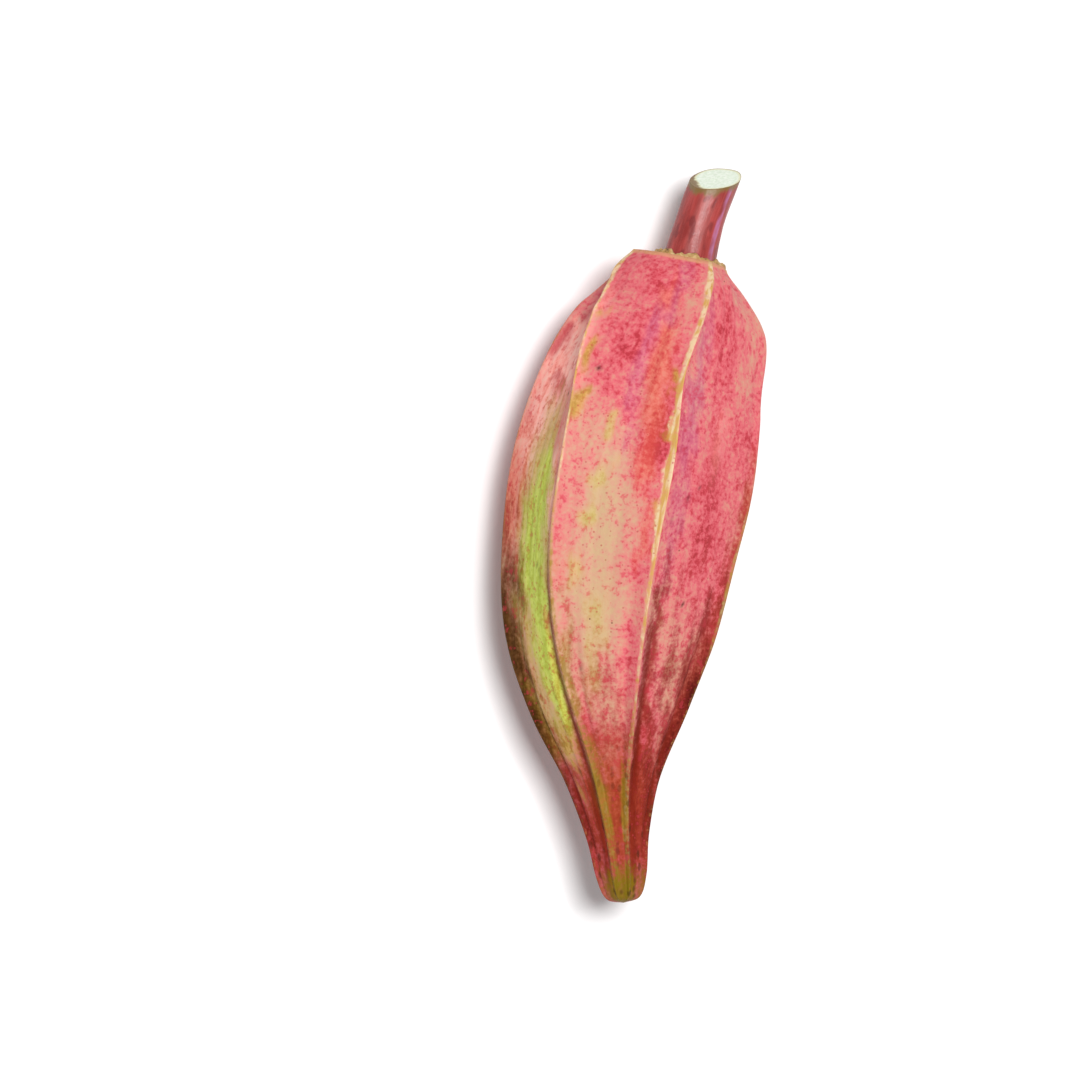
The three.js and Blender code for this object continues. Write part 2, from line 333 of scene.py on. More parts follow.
class Shader:
    """A material under construction: each method adds a node and gives back its output."""

    def __init__(self, name):
        self.material = bpy.data.materials.new(name)
        self.material.use_nodes = True
        self.tree = self.material.node_tree
        self.surface = self.tree.nodes["Principled BSDF"]

    def node(self, kind, inputs, **settings):
        made = self.tree.nodes.new(kind)
        for key, value in settings.items():
            setattr(made, key, value)
        for key, value in inputs.items():
            self.feed(made.inputs[key], value)
        return made

    def feed(self, socket, value):
        if isinstance(value, bpy.types.NodeSocket):
            self.tree.links.new(value, socket)
        elif isinstance(value, str):
            socket.default_value = colour(value)
        else:
            socket.default_value = value

    def attribute(self, name):
        return self.node("ShaderNodeAttribute", {}, attribute_name=name).outputs["Fac"]

    def vector_attribute(self, name):
        return self.node("ShaderNodeAttribute", {}, attribute_name=name).outputs["Vector"]

    def place(self):
        return self.node("ShaderNodeTexCoord", {}).outputs["Object"]

    def stretch(self, vector, scale):
        return self.node("ShaderNodeMapping", {"Vector": vector, "Scale": scale}).outputs["Vector"]

    def noise(self, vector, size, detail=2.0, roughness=0.5):
        """Noise from 0 to 1 whose features are about size millimetres."""
        inputs = {"Vector": vector, "Scale": 1 / (size * MM), "Detail": detail, "Roughness": roughness}
        return self.node("ShaderNodeTexNoise", inputs).outputs["Fac"]

    def cells(self, vector, size):
        """Distance to, and a random number of, the nearest of scattered points size millimetres apart."""
        cell = self.node("ShaderNodeTexVoronoi", {"Vector": vector, "Scale": 1 / (size * MM)})
        random = self.node("ShaderNodeSeparateColor", {"Color": cell.outputs["Color"]}).outputs["Red"]
        return cell.outputs["Distance"], random

    def math(self, operation, first, second=0.0):
        made = self.node("ShaderNodeMath", {}, operation=operation)
        self.feed(made.inputs[0], first)
        self.feed(made.inputs[1], second)
        return made.outputs["Value"]

    def sum(self, *terms):
        """Total of values, each times its weight."""
        total = 0.0
        for value, weight in terms:
            part = self.math("MULTIPLY", value, weight)
            total = self.math("ADD", part, total)
        return total

    def ladder(self, value, steps):
        """Colour that passes through the steps, each a value from 0 to 1 and its colour."""
        made = self.node("ShaderNodeValToRGB", {"Fac": value})
        stops = made.color_ramp.elements
        while len(stops) < len(steps):
            stops.new(1.0)
        for stop, (place, tone) in zip(stops, steps):
            stop.position = place
            stop.color = colour(tone)
        return made.outputs["Color"]

    def ramp(self, value, low, high):
        """0 below low, 1 above high, smooth between; falls instead where low is above high."""
        inputs = {"Value": value, "From Min": min(low, high), "From Max": max(low, high)}
        ends = {"To Min": 0.0, "To Max": 1.0} if low < high else {"To Min": 1.0, "To Max": 0.0}
        made = self.node("ShaderNodeMapRange", {**inputs, **ends}, interpolation_type="SMOOTHSTEP")
        return made.outputs["Result"]

    def blend(self, share, under, over):
        made = self.node("ShaderNodeMix", {}, data_type="RGBA")
        self.feed(made.inputs["Factor"], share)
        self.feed(made.inputs[6], under)
        self.feed(made.inputs[7], over)
        return made.outputs[2]

    def broken(self, mask, grain, reach, softness):
        """A mask whose edge breaks up into grains."""
        lifted = self.math("ADD", mask, self.math("MULTIPLY", self.math("SUBTRACT", grain, 0.5), reach))
        edge = self.ramp(lifted, 0.5 - softness, 0.5 + softness)
        return self.math("MULTIPLY", edge, self.ramp(mask, 0.0, 0.3))

    def dots(self, vector, spacing, radius, chosen):
        """Soft dots; each cell's random number decides how much its dot shows, over the range chosen."""
        distance, random = self.cells(vector, spacing)
        near = self.ramp(distance, radius / spacing, 0.5 * radius / spacing)
        return self.math("MULTIPLY", near, self.ramp(random, *chosen))

    def cover(self, base, mask, strength, tone):
        """The base with the tone laid over it, as strongly as the mask times strength."""
        return self.blend(self.math("MULTIPLY", mask, strength), base, tone)

    def finish(self, base, roughness, height=None, depth=0.1, **constants):
        """The material, with a bump depth millimetres high; constants are set on the shader's own sockets."""
        self.feed(self.surface.inputs["Base Color"], base)
        self.feed(self.surface.inputs["Roughness"], roughness)
        if height is not None:
            inputs = {"Height": height, "Strength": 1.0, "Distance": depth * MM}
            bump = self.node("ShaderNodeBump", inputs)
            self.feed(self.surface.inputs["Normal"], bump.outputs["Normal"])
        for socket, value in constants.items():
            self.surface.inputs[socket.replace("_", " ")].default_value = value
        return self.material


def colour(code):
    """Linear colour from a screen colour written as rrggbb."""
    channels = [int(code[k:k + 2], 16) / 255 for k in (0, 2, 4)]
    return [c / 12.92 if c <= 0.04045 else ((c + 0.055) / 1.055) ** 2.4 for c in channels] + [1.0]


# Patches on the pod's skin, each a soft oval:
# distance from the tip, half length, angle from straight up, half angle, strength.
# Red pigment adds up from PLAIN_PIGMENT, where 0 is cream and 1 is deep crimson.
PLAIN_PIGMENT = 0.5
PIGMENT = [
    (92, 14, -30, 40, 0.18),
    (86, 8, -22, 16, 0.2),
    (94, 7, -8, 9, 0.16),
    (97, 5, -60, 26, 0.12),
    (75, 4, -14, 9, 0.12),
    (78, 9, 4, 9, 0.2),
    (53, 14, -12, 16, -0.4),
    (40, 10, -8, 13, -0.28),
    (54, 17, 12, 5, 0.15),
    (66, 46, 48, 30, 0.24),
    (90, 10, 45, 18, 0.12),
    (74, 7, 60, 12, 0.08),
    (50, 18, 84, 16, 0.2),
    (44, 9, 36, 7, -0.1),
    (50, 12, 50, 9, 0.12),
    (92, 6, -95, 20, 0.15),
    (88, 3, -76, 7, 0.25),
    (52, 14, -60, 12, -0.35),
    (10, 14, 0, 180, 0.5),
    (24, 9, -4, 11, -0.2),
    (36, 13, 50, 9, -0.22),
    (26, 6, 56, 7, -0.15),
    (60, 34, 116, 20, 0.2),
    (66, 15, 126, 6, -0.4),
    (48, 34, 182, 22, 0.25),
    (62, 20, 176, 6, -0.4),
    (60, 30, 236, 20, 0.25),
    (44, 16, 232, 6, -0.4),
]
PATCHES = {
    # Pink on the left upper flank, laid lighter than the skin as painted light where that flank turns from
    # the lamp
    "pink_with_painted_light": [
        (82, 10, -64, 16, 1.0),
        (80, 9, -84, 12, 0.95),
        (68, 8, -76, 14, 0.8),
        (62, 12, -43, 5, 0.8),
        (74, 9, 52, 10, 0.35),
    ],
    "blotches": [
        (88.5, 2.5, -82, 8, 0.8),
        (82.4, 1.9, -90, 8, 0.9),
        (76.2, 2.6, -67, 9, 1.0),
        (77.2, 1.2, -79, 4, 0.6),
        (80.1, 2.5, -8, 3, 0.65),
        (71, 1.4, 7, 2.5, 0.6),
        (73.5, 1, 2, 2, 0.5),
        (82, 1.5, 4, 3, 0.65),
        (75.5, 1.4, -20, 4, 0.65),
        (67, 3, 58, 4, 0.6),
    ],
    "ochre": [
        (81.5, 2.2, -45, 3, 0.9),
        (74.6, 2.6, -38, 3, 0.9),
        (88, 2, -52, 3, 0.7),
        (81.9, 2, 10, 4, 0.9),
        (74, 1.6, 13, 3, 0.9),
        (60.5, 1.6, 15.5, 3, 0.8),
        (24, 6, -50, 8, 0.7),
        (38, 10, -40, 4, 0.6),
        (48, 9, -40, 3, 0.5),
    ],
    "yellow": [
        (72.7, 2, -19, 3, 0.9),
        (68, 2, -12, 3, 0.6),
        (64.2, 2.5, -18, 4, 0.9),
        (58.9, 2, -21, 4, 0.9),
        (50.7, 3.5, -24, 4, 0.9),
        (44, 8, -8, 8, 0.55),
        (34, 8, -14, 5, 0.45),
        (68, 9, -62, 14, 0.75),
        (54, 14, -72, 10, 0.9),
        (52, 13, -48, 12, 0.8),
        (34, 9, -60, 10, 0.8),
        (25, 8, -50, 14, 0.85),
        (66, 12, 120, 6, 0.6),
        (50, 12, 228, 6, 0.6),
    ],
    "orange": [
        (93, 6, -12, 5, 0.8),
        (86, 6, -3, 6, 0.85),
        (79, 7, 1, 7, 0.85),
        (70, 8, 5, 6, 0.75),
        (57, 8, 11, 4, 0.6),
        (60, 14, -86, 10, 0.75),
        (20, 9, 0, 20, 0.5),
        (64, 14, 88, 10, 0.5),
    ],
    "violet": [
        (97, 3, 0, 7, 0.6),
        (92, 4, -8, 6, 0.75),
        (87, 5, -14, 6, 0.75),
        (80, 6, -13, 5, 0.65),
        (72, 6, -7, 4, 0.5),
        (86, 10, 22, 7, 0.75),
        (74, 9, 25, 8, 0.75),
        (58, 12, 27, 8, 0.6),
        (40, 22, 170, 20, 0.4),
    ],
    "lime": [
        (62, 6, -56, 10, 0.85),
        (56, 6, -59, 14, 1.0),
        (50, 6, -58, 15, 1.0),
        (44, 6, -51, 12, 1.0),
        (38, 6, -46, 11, 1.0),
        (32, 5, -42, 10, 0.95),
        (27, 4, -40, 8, 0.5),
        (55, 14, 190, 7, 0.6),
    ],
    "russet": [
        (44, 21, -97, 15, 0.95),
        (30, 10, -84, 16, 0.8),
        (14, 14, 10, 90, 0.85),
        (62, 12, 86, 9, 0.6),
        (30, 14, 80, 20, 0.7),
        (46, 22, 50, 34, 0.25),
        (30, 12, -10, 20, 0.3),
        (54, 16, 92, 12, 0.75),
        (40, 30, 240, 30, 0.5),
    ],
    # Dark brown at the very tip and down the pod's sides and underside; on the sides partly the skin's own
    # colour and partly painted shade
    "dark": [
        (41, 14, -94, 20, 1.15),
        (42, 15, 94, 12, 0.9),
        (1.5, 2.5, 8, 14, 0.7),
        (27, 9, -90, 16, 1.0),
        (35, 26, 150, 14, 0.4),
    ],
    # Dark red down both sides of the neck: partly the skin's own colour, partly painted shade
    "neck_sides_with_painted_shade": [
        (14, 11, -88, 22, 1.0),
        (28, 11, -94, 18, 0.9),
        (14, 11, 88, 22, 1.0),
        (30, 12, 90, 18, 1.0),
    ],
    "olive_streaks": [
        (19, 6, -24, 10, 0.9),
        (13, 6, -14, 8, 0.7),
        (15, 8, 13, 5, 0.8),
        (36, 12, -27, 3, 0.7),
        (42, 12, -74, 8, 0.8),
        (28, 8, -72, 9, 0.85),
    ],
    "maroon": [
        (40, 12, 80, 15, 0.85),
        (54, 12, 94, 9, 0.6),
        (26, 11, 78, 18, 0.95),
        (40, 16, 27, 5, 0.9),
        (22, 14, 27, 7, 0.95),
        (14, 10, 48, 24, 0.85),
        (36, 7, 44, 6, 0.75),
        (37, 8, 66, 8, 0.7),
    ],
}

# Skin colours by amount of pigment
SKIN_TONES = [
    (0.0, "c9a680"),
    (0.28, "cf9780"),
    (0.48, "d6847a"),
    (0.68, "da6a72"),
    (0.88, "ca4a56"),
    (1.0, "a8323a"),
]

# Streaks over the skin, in order: lighter and darker colour, how strongly they cover and how ragged they are
SKIN_STREAKS = [
    # Lighter pink as painted light on the left upper flank
    ("pink_with_painted_light", "ffc4b6", "fa9a8e", 0.95, 1.4),
    ("blotches", "d04c58", "b43a44", 0.8, 1.4),
    ("yellow", "ccb874", "b2a04a", 0.75, 2.4),
    ("orange", "e48468", "cc4a40", 0.75, 2.4),
    ("lime", "d0de68", "b2be44", 0.95, 1.8),
    ("violet", "c06a8c", "ac5074", 0.5, 2.4),
    ("russet", "ac5228", "8c3014", 0.75, 2.4),
    ("ochre", "d2a44c", "a88230", 0.85, 2.4),
    ("olive_streaks", "9c8a28", "806a14", 0.8, 2.4),
    ("maroon", "982e20", "7c2016", 0.85, 2.4),
    # Dark neck sides: partly the skin's own colour, partly painted shade
    ("neck_sides_with_painted_shade", "641812", "400c0a", 0.95, 1.4),
    # Dark pod sides: partly the skin's own colour, partly painted shade
    ("dark", "5a3a12", "3a2206", 0.95, 1.2),
]

# Each kind of speck: spacing in millimetres, share of places that have one, colour and strength.
# SPECK_RADIUS is in millimetres.
SPECKS = [
    (1.4, 0.55, "b03a3e", 0.6),
    (0.8, 0.3, "b23c46", 0.5),
    (3.1, 0.15, "6e2a22", 0.75),
]
SPECK_RADIUS = 0.2

# Where round the tip its olive end is strongest
TIP_ANGLE = 0
TIP_HALF_ANGLE = 75

# Where along the pod the darker neck, the olive tip and the tan top edge fade out or in
NECK_WASH_END = (0.1, 0.34)
TIP_END = (0.01, 0.09)
TOP_START = (0.99, 0.998)

# Brown flecks on the neck: their spacing and radius in millimetres, and the range of random numbers
# over which they go from unseen to fully shown
FLECK_SPACING = 1.0
FLECK_RADIUS = 0.45
FLECK_CHOSEN = (0.4, 0.9)

# Small dark marks: distance from the tip, angle, radius in millimetres
SPOTS = [
    (80.1, -36, 0.35),
    (75.5, -52, 0.3),
    (64, 33, 0.35),
    (60, 24, 0.3),
    (66, 40, 0.25),
    (36, -20, 0.25),
    (47, 46, 0.25),
    (50.6, -53, 0.2),
    (50.2, -51.6, 0.2),
    (49.8, -50.2, 0.2),
    (49.4, -48.8, 0.2),
]

# Coloured band along each rib: its width in millimetres to the left and right of the crest,
# how much it shows and how olive it is, at each of BAND_STATIONS along the pod.
# Its width wavers by a share, in waves of so many millimetres, and it fades out over BAND_EDGE widths.
BAND_WAVER = 0.15
BAND_WAVER_LENGTH = 6
BAND_SEED = 70
BAND_EDGE = (0.5, 1.4)
BAND_STATIONS = (0.05, 0.3, 0.5, 0.65, 0.75, 0.82, 0.88, 0.98)
SIDE_BAND = {
    "left": (0.5, 0.3, 0.3, 0.3, 0.3, 0.3, 0.3, 0.5),
    "right": (0.5, 0.3, 0.3, 0.3, 0.3, 0.3, 0.3, 0.5),
    "shown": (0.2, 0.3, 0.5, 0.5, 0.5, 0.5, 0.5, 0.6),
    "olive": (0.9, 0.9, 0.7, 0.5, 0.5, 0.4, 0.4, 0.3),
}
RIB_BANDS = [
    {**SIDE_BAND, "shown": (0.2, 0.2, 0.3, 0.3, 0.3, 0.3, 0.3, 0.3)},
    {
        "left": (0.4, 0.3, 0.2, 0.2, 0.2, 0.2, 0.25, 0.6),
        "right": (1.2, 0.7, 0.35, 0.3, 0.3, 0.35, 0.4, 0.8),
        "shown": (0.4, 0.5, 0.65, 0.6, 0.6, 0.65, 0.65, 0.9),
        "olive": (0.9, 0.9, 0.8, 0.2, 0, 0, 0, 0.1),
    },
    {
        "left": (0.6, 0.35, 0.5, 1.25, 1.1, 0.75, 0.7, 0.7),
        "right": (0.5, 0.2, 0.15, 0.1, 0.1, 0.1, 0.1, 0.4),
        "shown": (0.4, 0.45, 0.75, 0.85, 0.85, 0.8, 0.8, 0.9),
        "olive": (0.9, 0.4, 0, 0.05, 0.05, 0.15, 0.15, 0.15),
    },
    {
        **SIDE_BAND,
        "left": (0.6, 0.4, 0.7, 0.3, 0.3, 0.3, 0.3, 0.3),
        "shown": (0.2, 0.3, 0.7, 0.4, 0.2, 0.2, 0.2, 0.2),
    },
    SIDE_BAND,
    SIDE_BAND,
]

# Painted shade: dark red lines in the hollows beside a rib on the lower pod, partly the skin's own deeper
# red, in millimetres:
# rib, distance from its crest, half width, start and end along the pod
HOLLOW_SHADE_FADE_IN = 10
HOLLOW_SHADE_FADE_OUT = 18
HOLLOW_SHADE_LINES = [
    (1, -1.2, 0.9, -5, 60),
    (2, 1.3, 0.9, -5, 56),
    (2, -1.6, 0.4, -8, 16),
    (0, 1.2, 0.7, 4, 32),
    (3, -1.4, 0.8, 4, 34),
    (4, -1.2, 0.8, 4, 45),
    (5, 1.2, 0.8, 4, 45),
]

# How far the edges of patches wander, in millimetres along the pod and degrees round it,
# and the length, turns and number of the waves in which they do
RAGGED_LENGTH = 1.3
RAGGED_ANGLE = 2.2
RAGGED_WAVES = (5, 24, 30)


def turned(angle, centre):
    """Difference of two angles in degrees, by the short way round."""
    return (np.degrees(angle) - centre + 180) % 360 - 180


def ragged(along, angle):
    """The same places, moved a little to and fro, which gives patches uneven edges."""
    lengthwise = RAGGED_LENGTH * ripples(along, angle, 51, *RAGGED_WAVES)
    sideways = math.radians(RAGGED_ANGLE) * ripples(along, angle, 52, *RAGGED_WAVES)
    return along + lengthwise, angle + sideways


def painted(patches, along, angle):
    """Sum of soft ovals, and how much of the bare skin they hide between them."""
    total = np.zeros_like(along)
    bare = np.ones_like(along)
    for centre, length, turn, half, strength in patches:
        oval = strength * bell(along - centre, length) * bell(turned(angle, turn), half)
        total += oval
        bare *= 1 - oval
    return total, 1 - bare


def rib_bands(near, signed, share):
    """How much each place shows a rib's coloured band, and how olive it is there."""
    mask = np.zeros_like(signed)
    olive = np.zeros_like(signed)
    for rib, band in enumerate(RIB_BANDS):
        left, right, shown, tone = (
            np.interp(share, BAND_STATIONS, band[key]) for key in ("left", "right", "shown", "olive")
        )
        waver = 1 + BAND_WAVER * ripples(share * POD_LENGTH, 0, BAND_SEED + rib, BAND_WAVER_LENGTH, 0)
        width = np.where(signed < 0, left, right) * waver
        there = shown * (1 - smooth(*BAND_EDGE, np.abs(signed) / np.maximum(width, 0.1)))
        mask = np.where(near == rib, there, mask)
        olive = np.where(near == rib, tone, olive)
    return mask, olive


def hollow_shade_lines(near, signed, along):
    """How much each place lies in the painted shade of the dark hollows beside the ribs."""
    mask = np.zeros_like(signed)
    for rib, distance, width, start, end in HOLLOW_SHADE_LINES:
        reach = smooth(start, start + HOLLOW_SHADE_FADE_IN, along) * (1 - smooth(end - HOLLOW_SHADE_FADE_OUT, end, along))
        mask = np.maximum(mask, (near == rib) * reach * bell(signed - distance, width))
    return mask


def make_pod():
    """The ribbed capsule, from its tip to its flat top end, and the numbers that its skin is painted by."""
    side = spline(OUTLINE_POINTS, SPAN_STATIONS, power=0)[1:]
    rings = np.linspace(TOP_RADIUS - TOP_EDGE, INNERMOST_RADIUS, TOP_RINGS)
    radius = np.concatenate([side[:, 0], rings])
    along = np.concatenate([side[:, 1], np.full(TOP_RINGS, float(POD_LENGTH))])
    skin, angle, near, signed = skin_grid(radius, along)
    along_grid = along[:, None] + np.zeros_like(skin)
    share = along_grid / POD_LENGTH
    body = smooth(*UNEVEN_START, along_grid) * smooth(*UNEVEN_START_RADII, skin) * (along_grid < POD_LENGTH)
    uneven = sum(height * ripples(along_grid, angle, *waves) for height, *waves in UNEVENNESS)
    skin = skin + (uneven - SKIN_INSET) * body
    points = axis.around(along_grid, skin, angle)
    points[..., 2] = np.maximum(points[..., 2], 0)
    pod = ring_mesh("pod_skin", points)
    straight = np.stack([skin * np.sin(angle), along_grid, skin * np.cos(angle)], axis=-1).reshape(-1, 3)
    paint_vector(pod, "straight", np.vstack([straight, [[0, 0, 0], [0, POD_LENGTH, 0]]]) * MM)
    patch_places = ragged(along_grid, angle)
    pigment, _ = painted(PIGMENT, *patch_places)
    paint(pod, "pigment", PLAIN_PIGMENT + pigment, (0.8, 0.4))
    for name, patches in PATCHES.items():
        paint(pod, name, painted(patches, *patch_places)[1], (0, 0))
    band, olive = rib_bands(near, signed, share)
    paint(pod, "rib", band, (0, 0))
    paint(pod, "olive", olive, (1, 0))
    # Painted shade in the hollows beside the ribs
    paint(pod, "hollow", hollow_shade_lines(near, signed, along_grid), (0, 0))
    paint(pod, "neck", 1 - smooth(*NECK_WASH_END, share), (1, 0))
    tip_side = bell(turned(angle, TIP_ANGLE), TIP_HALF_ANGLE)
    paint(pod, "tip", (1 - smooth(*TIP_END, share)) * tip_side, (1, 0))
    paint(pod, "top", smooth(*TOP_START, share), (0, 1))
    marks = np.zeros_like(skin)
    for centre, turn, size in SPOTS:
        sideways = np.radians(turned(angle, turn)) * skin
        marks = np.maximum(marks, bell(np.hypot(along_grid - centre, sideways), size))
    paint(pod, "spots", marks, (0, 0))
    pod.data.materials.append(skin_material())
    return pod


def skin_material():
    """Cream to crimson skin in fine grains, under coloured streaks, rib bands, specks and flecks. The pink on
    the left upper flank is laid lighter as painted light, and the dark sides, neck sides and hollows beside
    the ribs are partly painted shade.
    """
    shader = Shader("okra_skin")
    straight = shader.vector_attribute("straight")
    lengthwise = shader.stretch(straight, (1.0, 0.16, 1.0))
    mottle = shader.noise(shader.stretch(straight, (1.0, 0.75, 1.0)), 1.8, 5.0, 0.68)
    cloud = shader.noise(shader.stretch(straight, (1.0, 0.5, 1.0)), 8.0, 3.0)
    streak = shader.noise(lengthwise, 1.5, 5.0, 0.62)
    fine = shader.noise(straight, 0.7, 2.0, 0.6)
    unevenness = ((mottle, 0.9), (fine, 0.85), (streak, 0.15), (cloud, 0.95))
    level = 0.5 * sum(weight for _, weight in unevenness)
    uneven = shader.math("SUBTRACT", shader.sum(*unevenness), level)
    base = shader.ladder(shader.math("ADD", shader.attribute("pigment"), uneven), SKIN_TONES)
    neck = shader.attribute("neck")
    base = shader.cover(base, neck, 0.5, "842a1e")
    edge = shader.sum((streak, 0.45), (fine, 0.25), (mottle, 0.3))
    # Some of these streaks stand in for light: lighter pink as painted light, and dark sides partly as
    # painted shade
    for name, light, deep, strength, raggedness in SKIN_STREAKS:
        tone = shader.blend(shader.ramp(edge, 0.4, 0.6), light, deep)
        mask = shader.broken(shader.attribute(name), edge, raggedness, 0.42)
        base = shader.cover(base, mask, strength, tone)
    # Crimson grains lie over the lime and yellow streaks too
    grains = shader.ramp(shader.math("ADD", mottle, shader.math("MULTIPLY", fine, 0.6)), 0.86, 0.98)
    base = shader.cover(base, grains, 0.45, "c8404c")
    # Dark red painted shade in the hollows beside the ribs
    hollow = shader.broken(shader.attribute("hollow"), edge, 2.0, 0.48)
    base = shader.cover(base, hollow, 0.75, "741f10")

    pale = shader.blend(shader.ramp(shader.noise(lengthwise, 0.8, 2.0), 0.4, 0.62), "e8d2a8", "cfa65a")
    rib_colour = shader.blend(shader.attribute("olive"), pale, "94722a")
    rib = shader.broken(shader.attribute("rib"), shader.sum((fine, 0.6), (mottle, 0.4)), 2.4, 0.4)
    base = shader.cover(base, rib, 0.9, rib_colour)
    tip = shader.broken(shader.attribute("tip"), edge, 2.6, 0.42)
    base = shader.cover(base, tip, 0.85, "7a6a0c")
    top = shader.broken(shader.attribute("top"), edge, 2.4, 0.42)
    base = shader.cover(base, top, 0.7, "cfa272")

    for spacing, share, tone, strength in SPECKS:
        specks = shader.dots(straight, spacing, SPECK_RADIUS, (1 - share, 1 - 0.8 * share))
        base = shader.cover(base, specks, strength, tone)
    oblong = shader.stretch(straight, (1.0, 0.5, 1.0))
    flecks = shader.dots(oblong, FLECK_SPACING, FLECK_RADIUS, FLECK_CHOSEN)
    base = shader.cover(base, flecks, shader.math("MULTIPLY", neck, 0.6), "3e220c")
    base = shader.blend(shader.attribute("spots"), base, "4a1f1a")

    roughness = shader.sum((streak, 0.2), (fine, 0.15), (0.3, 1.0))
    height = shader.sum((streak, 0.5), (mottle, 0.3), (fine, 0.2))
    return shader.finish(base, roughness, height, 0.22, IOR=1.13)


# Section of the ring: radius in millimetres and share of its height; its foot is sunk into the pod's top
SCAR_SECTION = [
    (SCAR_INNER_RADIUS, 0),
    (SCAR_OUTER_RADIUS, 0),
    (SCAR_OUTER_RADIUS, 0.45),
    (SCAR_OUTER_RADIUS - 0.12, 0.75),
    (SCAR_OUTER_RADIUS - 0.4, 0.95),
    (SCAR_OUTER_RADIUS - 0.7, 0.9),
    (SCAR_INNER_RADIUS + 0.3, 0.7),
    (SCAR_INNER_RADIUS + 0.05, 0.5),
]
SCAR_SINK = 0.2
SCAR_COLUMNS = 240

# How low and how high the ring's crumbs go, as shares of its height
CRUMB_LOW = 0.35
CRUMB_HIGH = 1.3


def make_scar():
    """The low crumbling ring where the flower's leaves fell off, lobed as in the solids."""
    angle = np.arange(SCAR_COLUMNS) / SCAR_COLUMNS * 2 * math.pi
    foot = POD_LENGTH - SCAR_SINK
    lift = PIECE_GAP + SCAR_SINK + SCAR_HEIGHT
    lobes = 1 + 0.03 * np.sin(5 * angle - 0.6) + 0.015 * np.sin(11 * angle)
    waves = 0.25 * np.sin(7 * angle + 1) + 0.15 * np.sin(16 * angle)
    crumble = np.clip(1 + waves + 0.12 * ripples(0, angle, 8, 1, 60), CRUMB_LOW, CRUMB_HIGH)
    section_radius, section_height = np.array(SCAR_SECTION).T[:, :, None]
    radius = section_radius * lobes
    height = section_height * lift * crumble
    points = axis.around(foot + height, radius, angle + 0 * radius)
    scar = ring_mesh("calyx_scar_ring", points, hoop=True)
    paint(scar, "height", height / lift)
    scar.data.materials.append(scar_material())
    return scar


def scar_material():
    """Tan dried tissue with scorched patches on its upper edge."""
    shader = Shader("dried_scar")
    place = shader.place()
    patches = shader.noise(place, 1.4, 3.0)
    fibres = shader.noise(place, 0.25, 3.0)
    base = shader.blend(shader.ramp(patches, 0.42, 0.58), "cdb07c", "b08a52")
    upper = shader.ramp(shader.attribute("height"), 0.4, 0.8)
    base = shader.cover(base, shader.ramp(patches, 0.6, 0.66), upper, "4d2c1c")
    return shader.finish(base, 0.85, fibres, 0.2)


# How finely the stalk is divided, and where the rings of its cut face lie, as shares of its radius.
# Its side starts a little below its foot, which closes the gap to the pod.
STEM_COLUMNS = 96
STEM_STATIONS = 90
STEM_LINE_STEPS = 80
STEM_START = -0.05
CUT_RINGS = (0.985, 0.96, 0.92, 0.86, 0.78, 0.68, 0.56, 0.43, 0.3, 0.18, 0.08)
CUT_SINK = 0.04

# Distance from the stalk's foot and radius there
STEM_FLARE = [
    (0, STEM_FOOT_RADIUS),
    (1, STEM_FOOT_RADIUS - 0.2),
    (3, STEM_RADIUS + 0.2),
    (6, STEM_RADIUS + 0.05),
    (9, STEM_RADIUS),
]

# How far, as a share of its radius, the bark laps over the stalk's cut face, and round which angle
LAP_SHARE = 0.24
LAP_ANGLE = -70
LAP_HALF_ANGLE = 40

# Where an olive notch runs down the bark from the cut, and where the violet line of painted highlight lies
NOTCH_ANGLE = 14
NOTCH_HALF_ANGLE = 16
NOTCH_START = (0.8, 0.98)
PAINTED_HIGHLIGHT_ANGLE = 48

# Radius on which the bark's grain is laid, and the place along the stalk at which the cut face reads its own
GRAIN_RADIUS = 3.7
CUT_GRAIN_PLACE = 20


